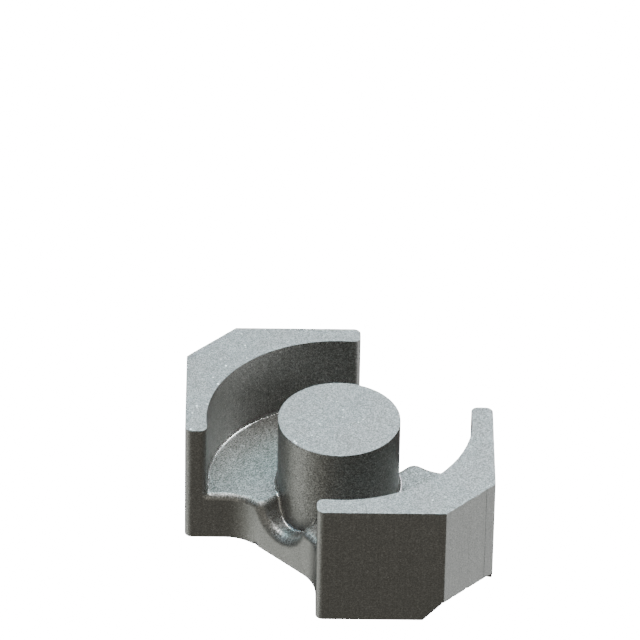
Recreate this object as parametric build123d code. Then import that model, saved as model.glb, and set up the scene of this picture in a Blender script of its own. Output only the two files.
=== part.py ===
"""Rectangular module ferrite core half, pressed and sintered in one piece.

The plan is a square turned on its corners. Two opposite corners are cut flat for the clip, and
the other two are open notches for the wires. A round window surrounds a solid centre post.
The part rests on its back face at z = 0 and its mating face looks up. X runs from clip flat to
clip flat. Sizes are in millimetres."""

import os
from math import cos, hypot, radians, sin, sqrt, tan

from build123d import *

# Plan.
ACROSS_FLATS = 12.05        # between opposite sides of the turned square
LENGTH = 14.3               # between the two clip flats
WAIST = 6.5                 # across the base between the two notches
ARM_END_OFFSET = 0.88       # arm end face from the diagonal plane through the axis
NOTCH_ROUND = 1.7           # upright inner corner where the notch meets the arm
ARM_CORNER_ROUND = 0.3      # outer upright edge of an arm
CLIP_CORNER_ROUND = 0.1     # upright edge beside a clip flat

# Heights above the back face.
HEIGHT = 5.2                # back face to mating face
WINDOW_DEPTH = 3.15         # mating face to window floor
FLOOR_Z = HEIGHT - WINDOW_DEPTH

# Round window and centre post.
WINDOW_DIAMETER = 10.4
POST_DIAMETER = 4.8
WINDOW_WALL_FILLET = 0.12
POST_FOOT_FILLET = 0.12
WINDOW_RIM_ROUND = 0.27     # arm's inner upright edges and the floor's open edges
RIM_ROUND_SHARE = 0.35      # the most that round may take of the end wall's thinnest part

# Wire trough, from the foot of the post out through the notch wall.
TROUGH_RADIUS = 1.08
TROUGH_AXIS_RISE = 0.13     # its axis above the window floor
TROUGH_MOUTH_ROUND = 0.42
MOUTH_ROUND_SHARE = 0.65    # the most that the rim round may take of the mouth round
TROUGH_DRAFT = 4.0          # lean of its end wall, below the post, in degrees

# Recess for the clip's nib, in the back face at each clip flat.
RECESS_WIDTH = 2.84
RECESS_LENGTH = 2.4         # inner wall to clip flat
RECESS_DEPTH = 0.72
RECESS_WALL_FILLET = 0.3
LIP_LENGTH = 0.75           # sloping run-out beside the clip flat
LIP_DEPTH = 0.86            # depth of the run-out at the clip flat
FLARE_START = 1.46          # where the end walls begin to flare, from the clip flat
FLARE_PLAN_ANGLE = 30.0     # top edge of the flare from the long axis, in degrees
FLARE_DRAFT = 41.0          # flare face from upright, in degrees

# Sizes that follow from the ones above.
HALF_FLATS = ACROSS_FLATS / 2
CLIP_HALF_WIDTH = HALF_FLATS * sqrt(2) - LENGTH / 2
ARM_X = (HALF_FLATS - ARM_END_OFFSET) / sqrt(2)
ARM_Y = (HALF_FLATS + ARM_END_OFFSET) / sqrt(2)
WAIST_X = WAIST / 2 - ARM_END_OFFSET * sqrt(2)
POST_RADIUS = POST_DIAMETER / 2
WINDOW_RADIUS = WINDOW_DIAMETER / 2
TROUGH_AXIS_Z = FLOOR_Z + TROUGH_AXIS_RISE
TROUGH_DEPTH = TROUGH_RADIUS - TROUGH_AXIS_RISE
RIM_ROUND = min(
    WINDOW_RIM_ROUND,
    RIM_ROUND_SHARE * (HALF_FLATS - WINDOW_RADIUS),
    MOUTH_ROUND_SHARE * TROUGH_MOUTH_ROUND)

# Working values.
MARGIN = 1.0                # how far the cutting shapes reach past the part
CLOSE = 0.001               # tolerance for picking edges and corners


def plan_outline():
    """The outline seen from above, with its upright edges rounded."""
    quarter = [(LENGTH / 2, CLIP_HALF_WIDTH), (ARM_X, ARM_Y), (WAIST_X, WAIST / 2)]
    left_back = [(-x, y) for x, y in reversed(quarter)]
    left_front = [(-x, -y) for x, y in quarter]
    right_front = [(x, -y) for x, y in reversed(quarter)]
    with BuildSketch(Plane.XY) as outline:
        with BuildLine():
            Polyline(quarter + left_back + left_front + right_front, close=True)
        make_face()
        for (x, y), radius in zip(quarter, (CLIP_CORNER_ROUND, ARM_CORNER_ROUND, NOTCH_ROUND)):
            corners = [
                v for v in outline.vertices()
                if abs(abs(v.X) - x) < CLOSE and abs(abs(v.Y) - y) < CLOSE
            ]
            fillet(corners, radius)
    return outline.sketch


def window_cutter():
    """The round window, turned about the axis, with a fillet where floor and wall meet."""
    height = WINDOW_DEPTH + MARGIN
    with BuildPart() as cutter:
        with BuildSketch(Plane.XZ) as section:
            with Locations((WINDOW_RADIUS / 2, FLOOR_Z + height / 2)):
                Rectangle(WINDOW_RADIUS, height)
            wall_foot = section.vertices().group_by(Axis.Y)[0].sort_by(Axis.X)[-1]
            fillet(wall_foot, WINDOW_WALL_FILLET)
        revolve(axis=Axis.Z)
    return cutter.part


def trough_cutter():
    """A round-bottomed channel along Y, from one notch to the other."""
    length = WAIST + 2 * MARGIN
    above = HEIGHT + MARGIN - TROUGH_AXIS_Z
    channel = Pos(0, 0, TROUGH_AXIS_Z) * Rot(90, 0, 0) * Cylinder(TROUGH_RADIUS, length)
    channel += Pos(0, 0, TROUGH_AXIS_Z + above / 2) * Box(2 * TROUGH_RADIUS, length, above)
    return channel


def post():
    """The centre post. Below the window floor it widens and stops up the channel."""
    low = (TROUGH_AXIS_Z - TROUGH_RADIUS) / 2
    foot_radius = POST_RADIUS + (FLOOR_Z - low) * tan(radians(TROUGH_DRAFT))
    with BuildPart() as turned:
        with BuildSketch(Plane.XZ):
            with BuildLine():
                Polyline(
                    (0, low), (foot_radius, low), (POST_RADIUS, FLOOR_Z),
                    (POST_RADIUS, HEIGHT), (0, HEIGHT), close=True)
            make_face()
        revolve(axis=Axis.Z)
    return turned.part


def recess_section(half_width):
    """The recess in side view at the +X end, pushed out to both sides of the long axis."""
    inner = LENGTH / 2 - RECESS_LENGTH
    lip = LENGTH / 2 - LIP_LENGTH
    slope = (LIP_DEPTH - RECESS_DEPTH) / LIP_LENGTH
    outer = LENGTH / 2 + MARGIN
    with BuildPart() as section:
        with BuildSketch(Plane.XZ) as side:
            with BuildLine():
                Polyline(
                    (inner, -MARGIN), (inner, RECESS_DEPTH), (lip, RECESS_DEPTH),
                    (outer, LIP_DEPTH + slope * MARGIN), (outer, -MARGIN), close=True)
            make_face()
            wall_foot = [
                v for v in side.vertices()
                if abs(v.X - inner) < CLOSE and abs(v.Y - RECESS_DEPTH) < CLOSE
            ]
            fillet(wall_foot, RECESS_WALL_FILLET)
        extrude(amount=half_width, both=True)
    return section.part


def flare_side(sign):
    """Everything on the recess side of one flared end wall; sign is +1 or -1 along Y."""
    plan, draft = radians(FLARE_PLAN_ANGLE), radians(FLARE_DRAFT)
    corner = (LENGTH / 2 - FLARE_START, sign * RECESS_WIDTH / 2, 0)
    into_recess = (sin(plan) * cos(draft), -sign * cos(plan) * cos(draft), -sin(draft))
    face = Plane(origin=corner, z_dir=into_recess)
    reach = LENGTH
    return face * Pos(0, 0, reach / 2) * Box(2 * reach, 2 * reach, reach)


def recess_cutter():
    """The clip recess at the +X end: a straight pocket whose outer half flares to the sides."""
    flared = recess_section(WAIST / 2) & flare_side(1) & flare_side(-1)
    return recess_section(RECESS_WIDTH / 2) + flared


def points_on(edge):
    """The edge's start, middle and end."""
    return [edge.position_at(t) for t in (0, 0.5, 1)]


def from_axis(point):
    return hypot(point.X, point.Y)


def trough_mouth_edges(body):
    """The curved edge where each trough comes out through its notch wall."""
    picked = []
    for edge in body.edges():
        start, middle, end = points_on(edge)
        on_wall = all(abs(abs(p.Y) - WAIST / 2) < CLOSE for p in (start, middle, end))
        sags = min(start.Z, end.Z) - middle.Z > TROUGH_DEPTH / 2
        if on_wall and sags:
            picked.append(edge)
    return picked


def arm_inner_edges(body):
    """The upright edge of each arm beside the window. Each one runs on smoothly, through the
    fillet at the window's foot, into the rim of the window floor and the top of the trough."""
    picked = []
    for edge in body.edges():
        start, middle, end = points_on(edge)
        on_window = all(abs(from_axis(p) - WINDOW_RADIUS) < CLOSE for p in (start, middle, end))
        upright = abs(start.Z - end.Z) > WINDOW_DEPTH / 2
        if on_window and upright and abs(middle.Y) > WAIST / 2:
            picked.append(edge)
    return picked


def post_foot_edges(body):
    """The foot of the post, on the window floor and down into both troughs."""
    widest = POST_RADIUS + TROUGH_DEPTH * tan(radians(TROUGH_DRAFT))
    picked = []
    for edge in body.edges():
        points = points_on(edge)
        on_post = all(POST_RADIUS - CLOSE < from_axis(p) < widest + CLOSE for p in points)
        if on_post and all(0 < p.Z < FLOOR_Z + CLOSE for p in points):
            picked.append(edge)
    return picked


def core_half():
    body = extrude(plan_outline(), HEIGHT) - window_cutter() - trough_cutter()
    body = body.fillet(TROUGH_MOUTH_ROUND, trough_mouth_edges(body))
    body = body.fillet(RIM_ROUND, arm_inner_edges(body))
    body += post()
    body = body.fillet(POST_FOOT_FILLET, post_foot_edges(body))
    recess = recess_cutter()
    body = body - recess - Rot(0, 0, 180) * recess
    return body.solid()


def save(shape, name):
    os.makedirs("parts", exist_ok=True)
    export_step(shape, os.path.join("parts", name + ".step"))


save(core_half(), "core_half")
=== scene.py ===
"""A sintered ferrite core half with a round coil window, lying on its back face.

The solid of the core is copied and cut into small cells. A geometry node tree wears its
sharp edges and gives it two finishes: pressed ferrite all over, and ground ferrite on the
mating plane. Lengths are in metres unless a comment says otherwise.
"""

from math import cos, radians, sin

import bmesh
import bpy
from mathutils import Matrix, Vector
from mathutils.interpolate import poly_3d_calc


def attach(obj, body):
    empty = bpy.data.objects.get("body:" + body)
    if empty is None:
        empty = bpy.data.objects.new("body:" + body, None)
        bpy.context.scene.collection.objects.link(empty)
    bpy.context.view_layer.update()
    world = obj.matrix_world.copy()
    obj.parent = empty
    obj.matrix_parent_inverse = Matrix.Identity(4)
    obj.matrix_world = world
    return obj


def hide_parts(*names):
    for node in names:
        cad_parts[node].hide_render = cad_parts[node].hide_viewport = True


MM = 0.001

# The core's own sizes that its finishes need.
HEIGHT = 5.2 * MM
HALF_LENGTH = 7.15 * MM
WINDOW_RADIUS = 5.2 * MM
FLOOR_HEIGHT = 2.05 * MM
SKIN = 0.004 * MM               # a cell this near the mating plane counts as part of it

# How finely the copied surface is cut up.
CELL = 0.2 * MM
EDGE_HALVINGS = 3
MERGE_DISTANCE = 0.00001 * MM
CREASE_ANGLE = 24.0             # a sharp edge turns by more than this, in degrees
FLAT_ANGLE = 0.05               # faces that turn by less than this are joined, in degrees
SAME_NORMAL = 0.0001            # normals that differ by less than this count as equal
SHORTEST = 0.01 * MM            # shorter sides of a face don't count in how it curves

# Wear on the sharp edges, over the whole core. A range holds the two values of a noise
# between which the wear or a nick sets in.
WEAR_REACH = 0.075 * MM
WEAR_DEPTH = 0.007 * MM
WEAR_RANGE = (0.3, 0.75)
NICK_DEPTH = 0.005 * MM
NICK_RANGE = (0.64, 0.76)
LOW_WEAR = 0.15                 # share of the wear that reaches the back face
LOW_WEAR_TOP = 0.15 * MM        # height from which the wear is full

# Larger chips, in millimetres: where each one is, how far it reaches and how deep it goes.
CHIPS = (
    ((-1.30, -3.25, 0.00), 0.13, 0.07),
    ((7.15, -0.12, 0.86), 0.09, 0.03),
    ((7.15, -0.85, 0.86), 0.08, 0.02),
    ((0.07, -2.40, 5.20), 0.09, 0.03),
    ((-0.25, -2.39, 5.20), 0.07, 0.03),
)

# Noises: the width of their spots, their detail, their roughness and their seed.
# The wear and the nicks take their seed from the tree's input.
WEAR_NOISE = (0.22 * MM, 3.0, 0.6)
NICK_NOISE = (0.5 * MM, 2.0, 0.7)
WEAR_SEED = 4.0
FINE_GRAIN = (0.045 * MM, 1.0, 0.6, 1.0)
COARSE_GRAIN = (0.28 * MM, 2.0, 0.5, 2.0)
TINT_PATCHES = (1.4 * MM, 2.0, 0.5, 5.0)
STREAKS = (0.07 * MM, 3.0, 0.6, 7.0)
STREAK_LENGTH = 2.2 * MM
GRAIN_SKEW = 2.0                # makes the light grains stand out more than the dark ones

# Specks: their spacing, the random values of a cell from which it gets a faint and a full
# one, and their radius in spacings.
PRESSED_PITS = (0.13 * MM, 0.90, 0.99, 0.35)
# The glints are painted highlights: pale specks put into the colour.
PRESSED_GLINTS = (0.11 * MM, 0.90, 0.99, 0.30)
GROUND_PITS = (0.13 * MM, 0.90, 0.99, 0.40)
# The glints are painted highlights: pale specks put into the colour.
GROUND_GLINTS = (0.11 * MM, 0.985, 0.993, 0.42)
SPECK_CORE = 0.5                # share of a speck's radius that has its full strength

# The skin that the die leaves.
PRESSED_DARK = (0.041, 0.040, 0.036, 1)
PRESSED_PALE = (0.061, 0.060, 0.056, 1)
PRESSED_TONE = (1.5, 0.3, 0.6)  # weights of the fine grain, the coarse grain and the streaks
PRESSED_GLOSS = (3.2, 0.2, 0.5)  # weights of the fine grain, the streaks and the hollows
PRESSED_SHINE = 0.47
PRESSED_ROUGHNESS = (0.42, 0.48)
PRESSED_PIT_SHARE = 0.15
PRESSED_GLINT_SHARE = 0.15

# The ground mating plane.
GROUND_DARK = (0.085, 0.084, 0.084, 1)
GROUND_PALE = (0.120, 0.119, 0.118, 1)
COOL_GROUND = (0.100, 0.104, 0.107, 1)
WARM_GROUND = (0.107, 0.101, 0.101, 1)
TINT_RANGE = (0.35, 0.65)
GROUND_TONE = (2.0, 0.5)        # weights of the fine and the coarse grain
GROUND_GLOSS = (2.9, 3.0, -0.15)  # weights of the fine grain, the painted sparkle spots and the pits
GROUND_SHINE = 0.45
GROUND_ROUGHNESS = (0.40, 0.50)
GROUND_PIT_SHARE = 0.2
GROUND_GLINT_SHARE = 0.8

# What both finishes share.
PIT_COLOUR = (0.012, 0.012, 0.012, 1)
# The colour of the painted highlights: the glint specks and the sparkle spots.
PAINTED_GLINT_COLOUR = (0.80, 0.82, 0.83, 1)
FERRITE_IOR = 2.2
FINE_REACH = 0.3                # fine grain this far from zero is the least or most rough
RELIEF = 0.008 * MM

# How grainy the pressed skin is: fully on level faces, and by these shares on upright ones.
SMOOTH_WALL = 0.4
WINDOW_WALL = 0.55
WINDOW_EDGE = 0.15 * MM         # over which the window's grain fades, outside its wall
WINDOW_FOOT = 0.4 * MM          # over which it fades, below its floor
LEVEL_RANGE = (0.3, 0.8)        # levelness from which a face starts to count, and counts fully
STREAK_RANGE = (0.2, 0.5)       # levelness at which the streaks start to fade, and are gone

# Hollow rounds are smoother. A range holds how tightly one turns, in one over millimetres,
# where its polish starts and where it is full.
TROUGH_TURN = (0.72, 0.88)
FILLET_TURN = (4.2, 6.0)
TROUGH_POLISH = 0.5
POLISHED = 0.17

# Upright scratches on the clip flat: place along it, half width and darkness.
SCRATCHES = (
    (0.87 * MM, 0.028 * MM, 0.80),
    (-0.07 * MM, 0.018 * MM, 0.22),
    (-0.46 * MM, 0.020 * MM, 0.18),
)
SCRATCH_DEPTH = 0.03 * MM       # they show this far in from the flat

# Painted highlights on the mating plane, pale spots in its colour for the brightest broken grains:
# where each one is, in millimetres.
PAINTED_SPARKLES = (
    (-4.49, -3.40), (-5.60, -0.71), (-4.96, -1.78), (-3.57, -4.63), (-0.07, -2.31), (-0.20, -2.28))
PAINTED_SPARKLE_RADIUS = 0.055 * MM
PAINTED_SPARKLE_CORE = 0.3         # share of the radius that has its full strength

# The camera: where it looks from, in degrees, and the slide that frames the core.
CAMERA_AZIMUTH = 44.2853
CAMERA_ELEVATION = 35.7620
CAMERA_ROLL = 1.0360
CAMERA_DISTANCE = 258.620 * MM
CAMERA_SLIDE_RIGHT = -0.680 * MM
CAMERA_SLIDE_UP = 8.093 * MM
LENS = 367.95                   # this and the sensor are in millimetres
SENSOR = 36.0
NEAREST_SEEN = 0.01
FARTHEST_SEEN = 10

# The studio. A panel has a name, an azimuth from the camera's and an elevation in degrees,
# a width, a height and the power of its red, green and blue light in watts.
FLOOR_SIDE = 0.8
FLOOR_DROP = 0.02 * MM          # keeps the floor clear of the back face
FLOOR_GLOW = 18.0
AIR_GLOW = 0.02
LIGHT_REACH = 0.35
PANELS = (
    ("panel_overhead", 0, 90, 0.20, 0.20, (1.94, 1.93, 1.87)),
    ("panel_high_back", 180, 62, 0.34, 0.16, (0.69, 1.17, 1.25)),
    ("panel_back", 166, 35, 0.17, 0.09, (0.33, 0.32, 0.35)),
    ("panel_front", 0, 10, 0.70, 0.60, (0.84, 0.80, 0.69)),
    ("panel_side_right", 112, 42, 0.12, 0.12, (1.096, 1.138, 1.115)),
    ("panel_side_left", -92, 38, 0.22, 0.16, (0.115, 0.16, 0.195)),
    ("panel_left_low", -90, -36, 0.30, 0.20, (0.500, 0.515, 0.475)),
    ("panel_right_low", 90, -36, 0.30, 0.20, (0.512, 0.530, 0.517)),
    ("panel_front_left_low", -48, -34, 0.18, 0.20, (0.083, 0.084, 0.074)),
)


def link(obj):
    bpy.context.scene.collection.objects.link(obj)
    return obj


def whole_faces(node):
    """A closed copy of a solid's mesh, with the triangles of each flat face joined up."""
    bm = bmesh.new()
    bm.from_mesh(node.data)
    bmesh.ops.remove_doubles(bm, verts=bm.verts, dist=MERGE_DISTANCE)
    bmesh.ops.dissolve_limit(
        bm, angle_limit=radians(FLAT_ANGLE), verts=bm.verts, edges=bm.edges, delimit=set())
    for table in (bm.verts, bm.edges, bm.faces):
        table.ensure_lookup_table()
        table.index_update()
    return bm


def smooth_fan(corner):
    """The corners round a vertex that are reached from one without crossing a sharp edge."""
    fan, waiting = [], [corner]
    while waiting:
        here = waiting.pop()
        if here in fan:
            continue
        fan.append(here)
        for edge in (here.edge, here.link_loop_prev.edge):
            if edge.calc_face_angle(0.0) > radians(CREASE_ANGLE):
                continue
            for other in edge.link_loops:
                if other.face is not here.face:
                    waiting.append(other if other.vert is here.vert else other.link_loop_next)
    return fan


def corner_normals(bm):
    """The smooth normal at each corner of each face, where larger faces count for more."""
    areas = [face.calc_area() for face in bm.faces]
    normals = []
    for face in bm.faces:
        mine = []
        for corner in face.loops:
            total = Vector((0, 0, 0))
            for other in smooth_fan(corner):
                total += other.face.normal * areas[other.face.index] * other.calc_angle()
            mine.append(total.normalized())
        normals.append(mine)
    return normals


def cut_into_cells(bm):
    """Cuts every face along an even grid, so that no cell is wider than the grid."""
    low = [min(v.co[axis] for v in bm.verts) for axis in range(3)]
    high = [max(v.co[axis] for v in bm.verts) for axis in range(3)]
    for axis in range(3):
        count = int((high[axis] - low[axis]) / CELL)
        for step in range(1, count + 1):
            place = Vector((0, 0, 0))
            place[axis] = low[axis] + (high[axis] - low[axis]) * step / (count + 1)
            across = Vector((0, 0, 0))
            across[axis] = 1
            bmesh.ops.bisect_plane(
                bm, geom=bm.verts[:] + bm.edges[:] + bm.faces[:], dist=MERGE_DISTANCE,
                plane_co=place, plane_no=across)


def halve_beside_edges(bm):
    """Halves the cells that touch a sharp outer edge, a few times over."""
    for _ in range(EDGE_HALVINGS):
        sharp = [e for e in bm.edges if e.calc_face_angle_signed(0.0) > radians(CREASE_ANGLE)]
        faces = {face for edge in sharp for vert in edge.verts for face in vert.link_faces}
        edges = {edge for face in faces for edge in face.edges}
        bmesh.ops.subdivide_edges(bm, edges=list(edges), cuts=1, use_grid_fill=True)


def smooth_corners(bm, outlines, normals, wholes):
    """For each corner of the small cells, the normal that its whole face has there."""
    flat = [all((n - mine[0]).length < SAME_NORMAL for n in mine) for mine in normals]
    split = []
    for face, whole in zip(bm.faces, wholes):
        for corner in face.loops:
            if flat[whole]:
                split.append(normals[whole][0])
                continue
            weights = poly_3d_calc(outlines[whole], corner.vert.co)
            total = Vector((0, 0, 0))
            for weight, normal in zip(weights, normals[whole]):
                total += normal * weight
            split.append(total.normalized())
    return split


def mark_hollows(mesh, outlines, normals, wholes):
    """Stores on each cell how tightly its whole face is hollowed, as one over millimetres."""
    turns = []
    for outline, mine in zip(outlines, normals):
        turn = 0.0
        for i in range(len(outline)):
            across = outline[i] - outline[i - 1]
            if across.length > SHORTEST:
                closing = across.dot(mine[i - 1] - mine[i]) / across.length_squared
                turn = max(turn, closing * MM)
        turns.append(turn)
    hollow = mesh.attributes.new("hollow", "FLOAT", "FACE")
    for item, whole in zip(hollow.data, wholes):
        item.value = turns[whole]


def mark_chips(mesh):
    """Stores how deep the larger chips go at each point."""
    depths = mesh.attributes.new("chip", "FLOAT", "POINT")
    for vertex in mesh.vertices:
        for place, reach, depth in CHIPS:
            away = (vertex.co / MM - Vector(place)).length / reach
            if away < 1:
                mine = depth * MM * (1 - away * away)
                depths.data[vertex.index].value = max(depths.data[vertex.index].value, mine)


def cut_copy(node, name):
    """The copied surface in small cells, each with the smooth normals of its whole face."""
    bm = whole_faces(node)
    normals = corner_normals(bm)
    outlines = [[v.co.copy() for v in face.verts] for face in bm.faces]
    parent = bm.faces.layers.int.new("whole_face")
    for face in bm.faces:
        face[parent] = face.index
    cut_into_cells(bm)
    halve_beside_edges(bm)
    parent = bm.faces.layers.int["whole_face"]
    wholes = [face[parent] for face in bm.faces]
    split = smooth_corners(bm, outlines, normals, wholes)
    mesh = bpy.data.meshes.new(name)
    bm.to_mesh(mesh)
    bm.free()
    mesh.shade_smooth()
    mesh.normals_split_custom_set(split)
    mark_hollows(mesh, outlines, normals, wholes)
    mark_chips(mesh)
    return link(bpy.data.objects.new(name, mesh))


class Nodes:
    """Short calls for adding nodes to one tree and joining them."""

    def __init__(self, tree):
        self.tree = tree

    def add(self, kind, inputs=None, **settings):
        node = self.tree.nodes.new(kind)
        for name, value in settings.items():
            setattr(node, name, value)
        for name, value in (inputs or {}).items():
            self.feed(node.inputs[name], value)
        return node

    def feed(self, socket, value):
        """Gives a socket a constant, or joins it to another node's output."""
        if isinstance(value, bpy.types.NodeSocket):
            self.tree.links.new(value, socket)
        else:
            socket.default_value = value

    def maths(self, operation, first, second=0.0):
        kind = "ShaderNodeMath"
        return self.add(kind, {0: first, 1: second}, operation=operation).outputs[0]

    def weighed(self, patterns, weights):
        """The sum of some patterns, each times its own weight."""
        parts = [self.maths("MULTIPLY", *pair) for pair in zip(patterns, weights)]
        total = parts[0]
        for part in parts[1:]:
            total = self.maths("ADD", total, part)
        return total

    def coordinate(self, vector, axis):
        return self.add("ShaderNodeSeparateXYZ", {"Vector": vector}).outputs[axis]

    def ramp(self, value, low, high, to_low=0.0, to_high=1.0):
        """Takes a value from one range to another with soft ends."""
        kind = "ShaderNodeMapRange"
        inputs = {"Value": value, "From Min": low, "From Max": high,
                  "To Min": to_low, "To Max": to_high}
        return self.add(kind, inputs, interpolation_type="SMOOTHSTEP").outputs["Result"]

    def noise(self, place, size, detail, rough, seed):
        inputs = {"Vector": place, "Scale": 1 / size, "Detail": detail, "Roughness": rough,
                  "W": seed}
        return self.add("ShaderNodeTexNoise", inputs, noise_dimensions="4D").outputs["Fac"]

    def blend(self, share, first, second):
        """A colour between two others. The node's colour sockets go by number, because its
        number sockets have the same names."""
        inputs = {"Factor": share, 6: first, 7: second}
        return self.add("ShaderNodeMix", inputs, data_type="RGBA").outputs[2]


def wear_inputs(tree, pressed, ground):
    """The wear tree's inputs: the mesh, the sizes, the seed and the two finishes."""
    inputs = (
        ("Geometry", "NodeSocketGeometry", None), ("Reach", "NodeSocketFloat", WEAR_REACH),
        ("Depth", "NodeSocketFloat", WEAR_DEPTH), ("Nick Depth", "NodeSocketFloat", NICK_DEPTH),
        ("Seed", "NodeSocketFloat", WEAR_SEED), ("Pressed", "NodeSocketMaterial", pressed),
        ("Ground", "NodeSocketMaterial", ground))
    for name, kind, value in inputs:
        socket = tree.interface.new_socket(name, in_out="INPUT", socket_type=kind)
        if value is not None:
            socket.default_value = value
    tree.interface.new_socket("Geometry", in_out="OUTPUT", socket_type="NodeSocketGeometry")


def near_sharp_edges(n, given, height):
    """How near each point is to a sharp outer edge, and less of that beside the back face."""
    angle = n.add("GeometryNodeInputMeshEdgeAngle").outputs["Signed Angle"]
    is_sharp = n.maths("GREATER_THAN", angle, radians(CREASE_ANGLE))
    sharp = n.add("GeometryNodeSeparateGeometry", {
        "Geometry": given["Geometry"], "Selection": is_sharp}, domain="EDGE").outputs[0]
    away = n.add("GeometryNodeProximity", {"Geometry": sharp}, target_element="EDGES")
    near = n.ramp(away.outputs["Distance"], 0.0, given["Reach"], 1.0, 0.0)
    return n.maths("MULTIPLY", near, n.ramp(height, 0.0, LOW_WEAR_TOP, LOW_WEAR, 1.0))


def wear_depth(n, given, place, height):
    """How deep each point is worn: light wear and nicks at the sharp edges, and the chips."""
    rough = n.noise(place, *WEAR_NOISE, given["Seed"])
    seldom = n.noise(place, *NICK_NOISE, given["Seed"])
    wear = n.maths("MULTIPLY", n.ramp(rough, *WEAR_RANGE), given["Depth"])
    nicks = n.maths("MULTIPLY", n.ramp(seldom, *NICK_RANGE), given["Nick Depth"])
    near = near_sharp_edges(n, given, height)
    depth = n.maths("MULTIPLY", near, n.maths("ADD", wear, nicks))
    chip = n.add("GeometryNodeInputNamedAttribute", {"Name": "chip"}, data_type="FLOAT")
    return n.maths("MAXIMUM", depth, chip.outputs["Attribute"])


def mark_mating_plane(n, given, height):
    """Notes which cells lie in the mating plane, before the wear moves them."""
    noted = n.add("GeometryNodeCaptureAttribute", domain="FACE")
    noted.capture_items.new("BOOLEAN", "On Plane")
    n.feed(noted.inputs["Geometry"], given["Geometry"])
    n.feed(noted.inputs["On Plane"], n.maths("GREATER_THAN", height, HEIGHT - SKIN))
    return noted.outputs["Geometry"], noted.outputs["On Plane"]


def wear_tree(pressed, ground):
    """Wears and chips the sharp outer edges, always inwards, and sets both finishes."""
    tree = bpy.data.node_groups.new("worn_edges", "GeometryNodeTree")
    wear_inputs(tree, pressed, ground)
    n = Nodes(tree)
    given = n.add("NodeGroupInput").outputs
    place = n.add("GeometryNodeInputPosition").outputs[0]
    height = n.coordinate(place, "Z")
    surface, on_plane = mark_mating_plane(n, given, height)
    outward = n.add("GeometryNodeInputNormal").outputs[0]
    inward = n.add("ShaderNodeVectorMath", {0: outward}, operation="SCALE")
    n.feed(inward.inputs["Scale"], n.maths("MULTIPLY", wear_depth(n, given, place, height), -1.0))
    worn = n.add("GeometryNodeSetPosition", {"Geometry": surface, "Offset": inward.outputs[0]})
    plain = n.add("GeometryNodeRealizeInstances", {"Geometry": worn.outputs[0]})
    dressed = n.add("GeometryNodeSetMaterial", {
        "Geometry": plain.outputs[0], "Material": given["Pressed"]})
    dressed = n.add("GeometryNodeSetMaterial", {
        "Geometry": dressed.outputs[0], "Selection": on_plane, "Material": given["Ground"]})
    n.add("NodeGroupOutput", {"Geometry": dressed.outputs[0]})
    return tree


def wear_edges(core, pressed, ground):
    """Runs the wear tree once and keeps its result as the core's plain mesh."""
    worn = core.modifiers.new("worn_edges", "NODES")
    worn.node_group = wear_tree(pressed, ground)
    depsgraph = bpy.context.evaluated_depsgraph_get()
    mesh = bpy.data.meshes.new_from_object(core.evaluated_get(depsgraph))
    core.modifiers.remove(worn)
    core.data = mesh
    return core


def new_material(name):
    material = bpy.data.materials.new(name)
    material.use_nodes = True
    return material, Nodes(material.node_tree), material.node_tree.nodes["Principled BSDF"]


def grain(n, place):
    """Fine and coarse mottling, each round zero."""
    fine = n.maths("SUBTRACT", n.noise(place, *FINE_GRAIN), 0.5)
    skew = n.maths("ADD", n.maths("MULTIPLY", fine, GRAIN_SKEW), 1.0)
    coarse = n.maths("SUBTRACT", n.noise(place, *COARSE_GRAIN), 0.5)
    return n.maths("MULTIPLY", fine, skew), coarse


def specks(n, place, spacing, low, high, radius):
    """Small round spots, of which only some cells of a scatter get one."""
    cells = n.add("ShaderNodeTexVoronoi", {"Vector": place, "Scale": 1 / spacing})
    chosen = n.add("ShaderNodeSeparateColor", {"Color": cells.outputs["Color"]}).outputs[0]
    spot = n.ramp(cells.outputs["Distance"], radius * SPECK_CORE, radius, 1.0, 0.0)
    return n.maths("MULTIPLY", spot, n.ramp(chosen, low, high))


def painted_sparkles(n, place):
    """Painted highlights for a few broken grains, each at its own place on the mating plane."""
    total = 0.0
    for x, y in PAINTED_SPARKLES:
        ends = {0: place, 1: (x * MM, y * MM, HEIGHT)}
        away = n.add("ShaderNodeVectorMath", ends, operation="DISTANCE").outputs["Value"]
        core = PAINTED_SPARKLE_CORE * PAINTED_SPARKLE_RADIUS
        total = n.maths("ADD", n.ramp(away, core, PAINTED_SPARKLE_RADIUS, 1.0, 0.0), total)
    return total


def scratches(n, place):
    """Upright die scratches on the clip flat at +X."""
    on_flat = n.maths("GREATER_THAN", n.coordinate(place, "X"), HALF_LENGTH - SCRATCH_DEPTH)
    along_flat = n.coordinate(place, "Y")
    total = 0.0
    for along, half_width, darkness in SCRATCHES:
        away = n.maths("ABSOLUTE", n.maths("SUBTRACT", along_flat, along))
        total = n.maths("ADD", n.ramp(away, 0.0, half_width, darkness, 0.0), total)
    return n.maths("MULTIPLY", total, on_flat)


def levelness(n):
    """How level a face lies: 0 on an upright wall, 1 on the floor and the mating plane."""
    normal = n.add("ShaderNodeTexCoord").outputs["Normal"]
    return n.maths("ABSOLUTE", n.coordinate(normal, "Z"))


def streaks(n, place):
    """Fine upright streaks that the die leaves on upright walls."""
    stretch = n.add("ShaderNodeMapping", {"Vector": place})
    stretch.inputs["Scale"].default_value = (1, 1, STREAKS[0] / STREAK_LENGTH)
    lines = n.noise(stretch.outputs[0], *STREAKS)
    upright = n.ramp(levelness(n), *STREAK_RANGE, 1.0, 0.0)
    return n.maths("MULTIPLY", n.maths("SUBTRACT", lines, 0.5), upright)


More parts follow.
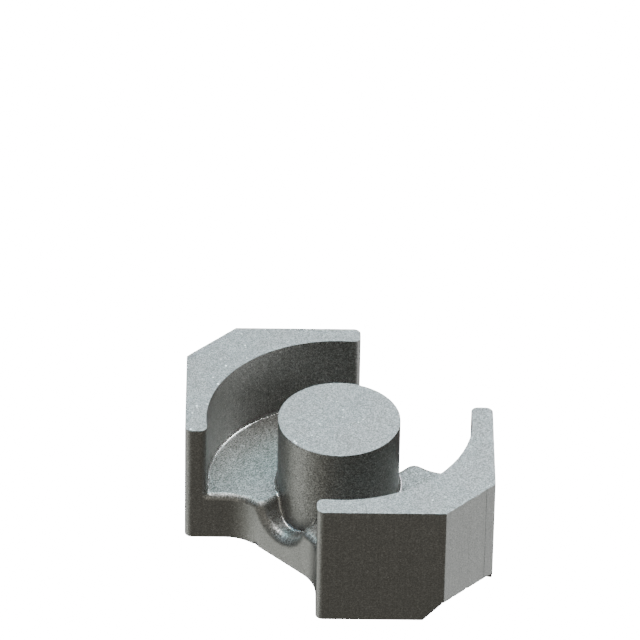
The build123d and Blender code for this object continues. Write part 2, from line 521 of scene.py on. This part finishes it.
def coarseness(n, place):
    """How grainy the pressed skin is: most on level faces, then on the window's walls."""
    x, y, z = (n.coordinate(place, axis) for axis in "XYZ")
    squares = n.maths("ADD", n.maths("POWER", x, 2.0), n.maths("POWER", y, 2.0))
    from_axis = n.maths("SQRT", squares)
    inside = n.ramp(from_axis, WINDOW_RADIUS, WINDOW_RADIUS + WINDOW_EDGE, WINDOW_WALL, 0.0)
    inside = n.maths("MULTIPLY", inside, n.ramp(z, FLOOR_HEIGHT - WINDOW_FOOT, FLOOR_HEIGHT))
    level = n.ramp(levelness(n), *LEVEL_RANGE)
    return n.ramp(n.maths("MAXIMUM", inside, level), 0.0, 1.0, SMOOTH_WALL, 1.0)


def polish(n):
    """How polished a hollow round is: the troughs partly, and the tight fillets fully."""
    hollow = n.add("ShaderNodeAttribute", attribute_name="hollow").outputs["Fac"]
    trough = n.maths("MULTIPLY", n.ramp(hollow, *TROUGH_TURN), TROUGH_POLISH)
    return n.maths("MAXIMUM", trough, n.ramp(hollow, *FILLET_TURN))


def join_finish(n, shader, colour, roughness, shine, fine):
    """Joins a finish to its shader, with the fine grain as its relief."""
    relief = n.add("ShaderNodeBump", {"Height": fine, "Distance": RELIEF}).outputs[0]
    n.feed(shader.inputs["Base Color"], colour)
    n.feed(shader.inputs["Roughness"], roughness)
    n.feed(shader.inputs["IOR"], FERRITE_IOR)
    n.feed(shader.inputs["Specular IOR Level"], shine)
    n.feed(shader.inputs["Normal"], relief)


def pressed_colour(n, place, tone, lines):
    pits = n.maths("MULTIPLY", specks(n, place, *PRESSED_PITS), PRESSED_PIT_SHARE)
    # The glints are painted highlights: pale specks put into the colour.
    glints = n.maths("MULTIPLY", specks(n, place, *PRESSED_GLINTS), PRESSED_GLINT_SHARE)
    colour = n.blend(n.maths("ADD", tone, 0.5), PRESSED_DARK, PRESSED_PALE)
    colour = n.blend(pits, colour, PIT_COLOUR)
    colour = n.blend(lines, colour, PIT_COLOUR)
    return n.blend(glints, colour, PAINTED_GLINT_COLOUR)


def pressed_ferrite():
    """The skin that the die leaves: dark, grainy in the window, streaked on the outer walls."""
    material, n, shader = new_material("pressed_ferrite")
    place = n.add("ShaderNodeTexCoord").outputs["Object"]
    fine, coarse = grain(n, place)
    fine = n.maths("MULTIPLY", fine, coarseness(n, place))
    drawn = streaks(n, place)
    lines = scratches(n, place)
    hollow = polish(n)
    tone = n.weighed((fine, coarse, drawn), PRESSED_TONE)
    shine = n.maths("ADD", n.weighed((fine, drawn, hollow), PRESSED_GLOSS), PRESSED_SHINE)
    shine = n.maths("MULTIPLY", shine, n.maths("SUBTRACT", 1.0, lines))
    dull = n.ramp(fine, -FINE_REACH, FINE_REACH, *PRESSED_ROUGHNESS)
    smoother = n.maths("MULTIPLY", hollow, n.maths("SUBTRACT", POLISHED, dull))
    roughness = n.maths("ADD", dull, smoother)
    join_finish(n, shader, pressed_colour(n, place, tone, lines), roughness, shine, fine)
    return material


def ground_colour(n, place, tone, pits, sparkles):
    tint = n.ramp(n.noise(place, *TINT_PATCHES), *TINT_RANGE)
    middle = n.blend(tint, COOL_GROUND, WARM_GROUND)
    colour = n.blend(n.ramp(tone, -0.5, 0.0), GROUND_DARK, middle)
    colour = n.blend(n.ramp(tone, 0.0, 0.5), colour, GROUND_PALE)
    colour = n.blend(n.maths("MULTIPLY", pits, GROUND_PIT_SHARE), colour, PIT_COLOUR)
    # Painted highlights: the glint specks and the listed sparkle spots are pale colour.
    glints = n.maths("MULTIPLY", specks(n, place, *GROUND_GLINTS), GROUND_GLINT_SHARE)
    return n.blend(n.maths("MAXIMUM", glints, sparkles), colour, PAINTED_GLINT_COLOUR)


def ground_ferrite():
    """The ground mating plane: paler, finely mottled, with painted glints where grains broke out.
    """
    material, n, shader = new_material("ground_ferrite")
    place = n.add("ShaderNodeTexCoord").outputs["Object"]
    fine, coarse = grain(n, place)
    pits = specks(n, place, *GROUND_PITS)
    sparkles = painted_sparkles(n, place)
    tone = n.weighed((fine, coarse), GROUND_TONE)
    shine = n.maths("ADD", n.weighed((fine, sparkles, pits), GROUND_GLOSS), GROUND_SHINE)
    roughness = n.ramp(fine, -FINE_REACH, FINE_REACH, *GROUND_ROUGHNESS)
    join_finish(n, shader, ground_colour(n, place, tone, pits, sparkles), roughness, shine, fine)
    return material


def core_piece(node):
    core = cut_copy(node, "core_surface")
    return wear_edges(core, pressed_ferrite(), ground_ferrite())


def studio_floor():
    """A plain glowing floor that only the camera sees, so that it lights nothing."""
    half = FLOOR_SIDE / 2
    corners = [(x, y, -FLOOR_DROP) for x, y in (
        (-half, -half), (half, -half), (half, half), (-half, half))]
    mesh = bpy.data.meshes.new("studio_floor")
    mesh.from_pydata(corners, [], [(0, 1, 2, 3)])
    material, _, shader = new_material("white_floor")
    shader.inputs["Base Color"].default_value = (0, 0, 0, 1)
    shader.inputs["Specular IOR Level"].default_value = 0.0
    shader.inputs["Emission Color"].default_value = (1, 1, 1, 1)
    shader.inputs["Emission Strength"].default_value = FLOOR_GLOW
    mesh.materials.append(material)
    floor = link(bpy.data.objects.new("studio_floor", mesh))
    floor.visible_diffuse = False
    floor.visible_glossy = False
    floor.visible_shadow = False


def direction(azimuth, elevation):
    """The way from the core to a place in the studio, from its angles in degrees."""
    turn, lift = radians(azimuth), radians(elevation)
    return Vector((sin(turn) * cos(lift), -cos(turn) * cos(lift), sin(lift)))


def soft_panel(name, azimuth, elevation, width, height, power):
    """A soft light that faces the core from a direction measured from the camera's."""
    toward = direction(CAMERA_AZIMUTH + azimuth, elevation)
    data = bpy.data.lights.new(name, "AREA")
    data.shape = "RECTANGLE"
    data.size = width
    data.size_y = height
    data.energy = max(power)
    data.color = [part / max(power) for part in power]
    panel = link(bpy.data.objects.new(name, data))
    facing = toward.to_track_quat("Z", "Y").to_matrix().to_4x4()
    panel.matrix_world = Matrix.Translation(toward * LIGHT_REACH) @ facing


def studio_light():
    world = bpy.data.worlds.new("studio_air")
    world.use_nodes = True
    background = world.node_tree.nodes["Background"]
    background.inputs["Color"].default_value = (1, 1, 1, 1)
    background.inputs["Strength"].default_value = AIR_GLOW
    bpy.context.scene.world = world
    for panel in PANELS:
        soft_panel(*panel)


def studio_camera():
    """The camera stands off the core's middle along one direction and slides sideways."""
    toward = direction(CAMERA_AZIMUTH, CAMERA_ELEVATION)
    level = (-toward).cross(Vector((0, 0, 1))).normalized()
    upright = level.cross(-toward).normalized()
    roll = radians(CAMERA_ROLL)
    right = level * cos(roll) + upright * sin(roll)
    up = upright * cos(roll) - level * sin(roll)
    place = toward * CAMERA_DISTANCE + right * CAMERA_SLIDE_RIGHT + up * CAMERA_SLIDE_UP
    data = bpy.data.cameras.new("studio_camera")
    data.sensor_width = SENSOR
    data.lens = LENS
    data.clip_start = NEAREST_SEEN
    data.clip_end = FARTHEST_SEEN
    camera = link(bpy.data.objects.new("studio_camera", data))
    turn = Matrix((right, up, toward)).transposed().to_4x4()
    camera.matrix_world = Matrix.Translation(place) @ turn
    bpy.context.scene.camera = camera


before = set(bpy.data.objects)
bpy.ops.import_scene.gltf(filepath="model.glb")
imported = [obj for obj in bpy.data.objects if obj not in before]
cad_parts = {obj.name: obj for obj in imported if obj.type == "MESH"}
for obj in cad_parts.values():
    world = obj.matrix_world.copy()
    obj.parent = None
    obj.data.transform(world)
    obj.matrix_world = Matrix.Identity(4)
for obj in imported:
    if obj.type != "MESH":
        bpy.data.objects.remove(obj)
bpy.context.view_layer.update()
core = core_piece(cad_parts["core_half"])
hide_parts("core_half")
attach(core, "root")
studio_floor()
studio_light()
studio_camera()
